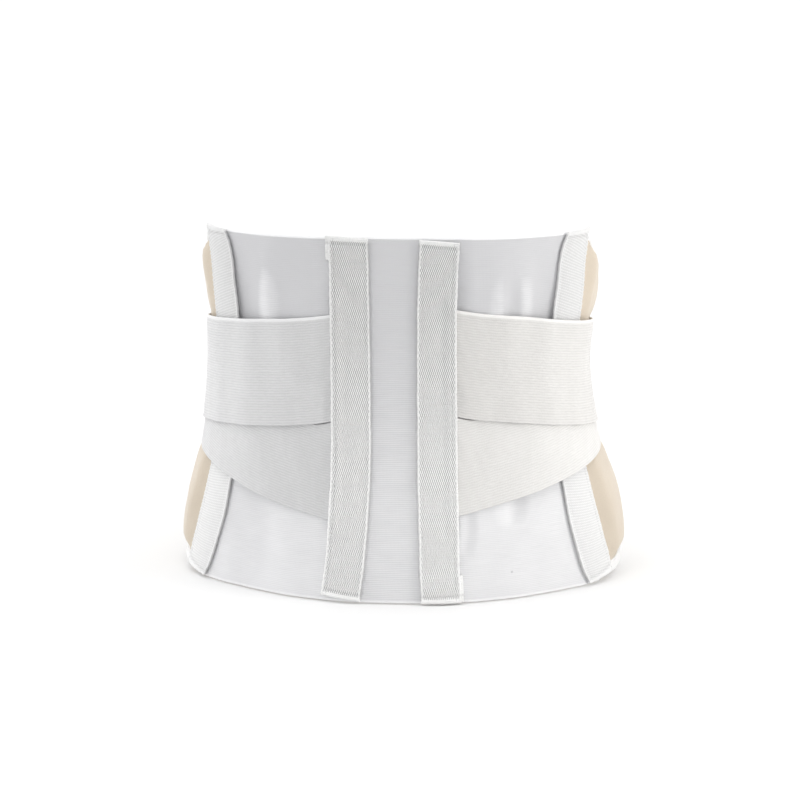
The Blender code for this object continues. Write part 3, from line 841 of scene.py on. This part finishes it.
def side_panel(side, sign):
    rises = stations(0, 1, 0.0125, close=(0, 1), band=0.012, fine=0.003)
    bm = slab(stations(0, 1, 0.0105, close=(0, 1), band=0.005, fine=0.0016), rises)
    share, rise, z = spots(bm)
    along, height = side_places(share, rise)
    thick = padding(along, height)
    from_casing = along - casing_line(OUTER_LINE, height) - TAPE / 2
    strap_low, strap_top = lower_edges(along)[0], upper_edges(along)[1]
    held = ease(strap_low - 12, strap_low, height) * (1 - ease(strap_top, strap_top + 12, height))
    held = held * ease(0.075 * TAPE, 0.49 * TAPE, from_casing)
    thick = np.maximum(thick, PANEL + (under_strap(along) - STRAP_GAP - PANEL) * held)
    soft = ease(1.0, 5.0, thick - PANEL)
    uneven = 0.35 * np.sin(along / 9.0 + height / 13.0) + 0.25 * np.sin(along / 5.3 - height / 7.7 + 2)
    for away, level, wide, tall, lift in CREASES:
        uneven = uneven + lift * hump(away, wide, from_casing) * hump(level, tall, height / HALF_HEIGHT)
    edge = np.minimum(height - side_edge(1, along), side_edge(2, along) - height)
    edge = np.minimum(edge, half_girth(height) + PAST_FRONT - along)
    body = np.where(z > 0.5, thick + uneven * soft, 0.0)
    middle = PANEL / 2
    out = side_lift(sign, along, height) + middle + (body - middle) * rounded(edge, 1.0)
    piece = sew(f"side_panel_cloth_{side}", bm, (along, height), sign * along, height, out,
                PADDED_CLOTH)
    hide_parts(f"side_panel_{side}")
    return piece


for side, sign in (("left", -1), ("right", 1)):
    side_panel(side, sign)

# %% [markdown]
# The binding is a narrow tape folded over the cut edge, like bias tape. It is made as a
# flat strip and bent round the edge: the distance across the strip turns into a walk
# down one face, round the edge and up the other.

# %% Bindings
BEND = PANEL / 2 + BINDING_CLEAR      # the radius of the turn round the edge
QUARTER = np.pi / 2 * BEND
BINDING_START, BINDING_RUN = 0.051, 285.0     # share of the way round, and length in mm
HEM = 1.5                             # from the binding's edge to its stitches


def fold_over(across, lift):
    """From the flat strip to (over the edge, out): a straight leg, a half turn, a straight leg."""
    leg = np.abs(across) - QUARTER
    turn = np.clip(across / BEND, -np.pi / 2, np.pi / 2)
    over = np.where(leg > 0, -leg, (BEND + lift) * np.cos(turn)) + BINDING_CLEAR * 0.4
    press = np.sign(across) * (BINDING_CLEAR - 0.05) * ease(0.5, 3.0, leg)
    return over, PANEL / 2 + (BEND + lift) * np.sin(turn) - press


def binding(side, sign, row):
    half = BINDING + QUARTER
    turn = 1 if row == "top" else -1
    start = BINDING_START
    bm = slab(stations(start, 1, 0.011, close=(start, 1), band=0.004, fine=0.0015),
              stations(-half, half, 0.75, close=(-half, half), band=0.8, fine=0.3))
    cut = len(bm.verts)
    runs = []
    for level in (half - HEM, HEM - half):
        runs += row_of(start + 0.004, level, 0.996, level, 3.0 / BINDING_RUN, width=0.5, fill=0.72)
    add_stitches(bm, runs)
    share, across, z = spots(bm)
    edge = half - np.abs(across)
    lift = z * BINDING_THICK * rounded(edge, 0.5)
    lift[:cut] += np.where(z[:cut] > 0.5, -0.22 * hump(HEM, 0.5, edge[:cut]), 0)
    lift[cut:] = BINDING_THICK - 0.12 + z[cut:]
    over, out = fold_over(across, lift)
    rise = np.full(len(share), 1.0 if row == "top" else 0.0)
    height = side_places(share, rise)[1] + turn * over
    along = to_the_front(share, height)
    out = side_lift(sign, along, height) + out
    piece = sew(f"{row}_binding_tape_{side}", bm, (share * BINDING_RUN, across), sign * along, height, out,
                BINDING_TAPE)
    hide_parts(f"{row}_binding_{side}")
    return piece


for side, sign in (("left", -1), ("right", 1)):
    for row in ("top", "bottom"):
        binding(side, sign, row)

# %% [markdown]
# Each front tab joins the ends of both straps, and closes on the side panel with hook
# and loop. It is cloth sewn round its rim. The hook strip between the fronts is hidden
# when the belt is closed, so it is finished plainly, with its rows of hooks as bump.

# %% Front tabs
def tab(side, sign):
    low, high = lower_edges(STRAP_END)[0], upper_edges(STRAP_END)[1]
    over_straps = under_strap(STRAP_END) + 2 * (STRAP_THICK + CLEAR)
    on_panel = PANEL + PADDING + 1.2 + CLEAR
    bm = slab(stations(0, TAB, 1.9, close=(0, TAB), band=2.2, fine=0.55),
              stations(0, 1, 0.02, close=(0, 1), band=0.03, fine=0.007))
    cut = len(bm.verts)
    tall = high - low
    runs = []
    for place in (2.6, TAB_LAP - 1.0):
        runs += row_of(place, 0.05, place, 0.95, 3.0 / tall, width=0.55, fill=0.75)
    runs += row_of(TAB - 3.2, 0.06, TAB - 3.2, 0.94, 3.0 / tall, width=0.55, fill=0.75)
    for level in (0.032, 0.968):
        runs += row_of(3.0, level, TAB - 4.0, level, 3.0, width=0.55 / tall, fill=0.75)
    add_stitches(bm, runs)
    run, share, z = spots(bm)
    along = TAB_END - TAB + run
    inset = 2.0 + 5.0 * ease(0.75, 1.02, run / TAB) ** 2
    height = low + inset + (tall - 2 * inset) * share
    from_edge = np.minimum(np.minimum(run, TAB - run), np.minimum(share, 1 - share) * tall)
    press = 0.30 * (hump(2.8, 0.7, from_edge) + hump(TAB_LAP - 1.0, 0.7, run))
    out = over_straps + (on_panel - over_straps) * ease(STRAP_END + 1, STRAP_END + 14, along)
    lift = TAB_THICK / 2 + (z - 0.5) * TAB_THICK * rounded(from_edge, 0.8) - np.where(z > 0.5, press, 0)
    lift[cut:] = TAB_THICK - press[cut:] + z[cut:]
    out = out + lift + side_lift(sign, along, height)
    piece = sew(f"strap_tab_cloth_{side}", bm, (run, share * tall), sign * along, height, out,
                TAB_CLOTH)
    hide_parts(f"strap_tab_{side}")
    float(tall - 4) * MM


for side, sign in (("left", -1), ("right", 1)):
    tab(side, sign)

# %% Hook strip
low, high = side_edge(1, ROUND) + 2 * BINDING + 2, side_edge(2, ROUND) - 2 * BINDING - 2
bm = slab(stations(-HOOK_WIDTH / 2, HOOK_WIDTH / 2, 2.0), stations(low, high, 4.0))
offset, height, z = spots(bm)
from_edge = np.minimum(HOOK_WIDTH / 2 - np.abs(offset), np.minimum(height - low, high - height))
out = PANEL + PADDING + 0.7 + HOOK_THICK / 2 + (z - 0.5) * HOOK_THICK * rounded(from_edge, 0.6)
hooks = sew("hook_strip_tape", bm, (offset, height), half_girth(height) + offset, height, out,
            HOOK_TAPE)
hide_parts("hook_strip")
float(high - low) * MM

# %% [markdown]
# A white thing on a white ground shows its form only by soft shadow. The studio's ceiling
# is the brightest, then its left wall, and the side behind the camera is dark down to a
# pale strip along the floor. So the top edges shine, there is a thin shadow under each
# lower edge, and the middle of the back is greyer than its sides. Part of this is painted
# into the materials too: painted shade towards the top and middle of the back panel, and a
# painted highlight along the straps' top edges. One small light on the right rakes across
# the folds.

# %% Floor
floor_mesh = bpy.data.meshes.new("floor")
bm = bmesh.new()
bmesh.ops.create_grid(bm, x_segments=1, y_segments=1, size=40.0)
bm.to_mesh(floor_mesh)
bm.free()
floor_finish = bpy.data.materials.new("pale_floor")
floor_finish.use_nodes = True
floor_finish.node_tree.nodes["Principled BSDF"].inputs["Base Color"].default_value = (0.86, 0.86, 0.86, 1)
floor_finish.node_tree.nodes["Principled BSDF"].inputs["Roughness"].default_value = 0.9
floor_mesh.materials.append(floor_finish)
floor = bpy.data.objects.new("floor", floor_mesh)
floor.location = (0, 0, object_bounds()[0].z - 0.001)
bpy.context.scene.collection.objects.link(floor)


# %% Lights
WALLS = (  # axis, where the wall's light starts on it, where it is full, its strength
    ("X", -0.2, -0.9, 1.02), ("Y", 0.0, 0.8, 0.35), ("Z", 0.3, 0.95, 1.57), ("Z", 0.20, 0.06, 1.0))


def soft_light(name, place, aim, size, power, tint):
    lamp = bpy.data.lights.new(name, "AREA")
    lamp.shape, lamp.size, lamp.energy, lamp.color = "SQUARE", size, power, tint
    light = bpy.data.objects.new(name, lamp)
    light.location = place
    light.rotation_euler = (Vector(aim) - Vector(place)).to_track_quat("-Z", "Y").to_euler()
    bpy.context.scene.collection.objects.link(light)


soft_light("side_right", (1.0, -0.35, 0.35), (0, -0.05, 0), 0.35, 4.0, (1.0, 0.985, 0.96))
world = bpy.data.worlds.new("studio")
world.use_nodes = True
sky = world.node_tree
towards = sky.nodes.new("ShaderNodeSeparateXYZ")
sky.links.new(sky.nodes.new("ShaderNodeTexCoord").outputs["Generated"], towards.inputs[0])
total = None
for axis, starts, full, strength in WALLS:
    wall = sky.nodes.new("ShaderNodeMapRange")
    wall.interpolation_type = "SMOOTHSTEP"
    for label, value in (("From Min", starts), ("From Max", full), ("To Max", strength)):
        wall.inputs[label].default_value = value
    sky.links.new(towards.outputs[axis], wall.inputs["Value"])
    both = sky.nodes.new("ShaderNodeMath")
    sky.links.new(wall.outputs["Result"], both.inputs[0])
    both.inputs[1].default_value = 0.0
    if total:
        sky.links.new(total.outputs[0], both.inputs[1])
    total = both
sky.links.new(total.outputs[0], sky.nodes["Background"].inputs["Strength"])
sky.nodes["Background"].inputs["Color"].default_value = (1, 1, 1, 1)
bpy.context.scene.world = world
bpy.context.scene.view_settings.view_transform = "Standard"

# %% [markdown]
# The camera stands behind the back, a little to its right and above it. A long lens
# from nearly two metres keeps both sides of the belt in view without bending it.

# %% Camera
AZIMUTH, ELEVATION, ROLL = 2.2047, 12.1084, 0.2081
DISTANCE, RIGHT, UP = 1.850, -0.00061, -0.00461
azimuth, elevation = np.radians(AZIMUTH), np.radians(ELEVATION)
forward = Vector((-np.sin(azimuth) * np.cos(elevation), np.cos(azimuth) * np.cos(elevation),
                  -np.sin(elevation)))
right = Vector((np.cos(azimuth), np.sin(azimuth), 0))
up = right.cross(forward)
turn = np.radians(ROLL)
image_right = right * np.cos(turn) + up * np.sin(turn)
image_up = up * np.cos(turn) - right * np.sin(turn)
camera = bpy.data.objects.new("camera", bpy.data.cameras.new("camera"))
camera.data.lens, camera.data.sensor_width = 114.2, 36.0
axes = Matrix((image_right, image_up, -forward)).transposed()
camera.matrix_world = Matrix.Translation(-forward * DISTANCE + right * RIGHT + up * UP) @ axes.to_4x4()
bpy.context.scene.collection.objects.link(camera)
bpy.context.scene.camera = camera
print("camera at", [round(c, 3) for c in camera.location])
